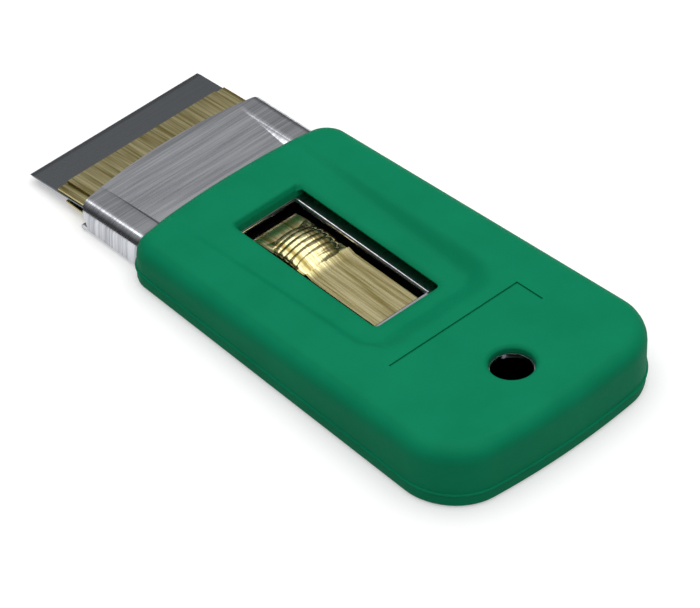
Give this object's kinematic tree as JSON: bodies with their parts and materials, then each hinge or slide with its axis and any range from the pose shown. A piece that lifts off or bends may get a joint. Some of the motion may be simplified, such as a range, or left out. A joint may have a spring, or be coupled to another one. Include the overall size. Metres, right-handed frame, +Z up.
{
  "type": "razor blade scraper",
  "caption": "Hand scraper with a soft tapered grip over a flat pressed steel body; a thumb slide in a window pushes a clamped single-edge blade out of the mouth.",
  "frame": {"origin": "middle of the grip's flat underside, halfway along the grip", "axes": "+Y points from the tail to the blade, +Z up out of the grip's top, +X to the right seen from the tail"},
  "size_m": [0.05, 0.1089, 0.0116],
  "materials": {
    "grip_rubber": "matte moulded green rubber",
    "body_steel": "nickel-bright steel, brushed across",
    "carrier_brass": "brass-plated sheet, brushed lengthwise",
    "blade_steel": "dark flat blade steel",
    "spine_metal": "plain folded sheet"
  },
  "bodies": {
    "body": {"grip_cover": "grip_rubber", "body_shell": "body_steel", "base_plate": "body_steel"},
    "slide": {"blade_carrier": "carrier_brass", "blade_clamp": "carrier_brass", "clamp_rivet_left": "carrier_brass", "clamp_rivet_right": "carrier_brass"},
    "blade": {"razor_blade": "blade_steel", "blade_spine": "spine_metal"}
  },
  "joints": [
    {"name": "thumb_slide", "type": "slide", "parent": "body", "child": "slide", "axis": [0, 1, 0], "range_m": [-0.015, 0.004]},
    {"name": "blade_release", "type": "slide", "parent": "slide", "child": "blade", "axis": [0, 0.9962, -0.0872], "range_m": [0, 0.0108]}
  ]
}
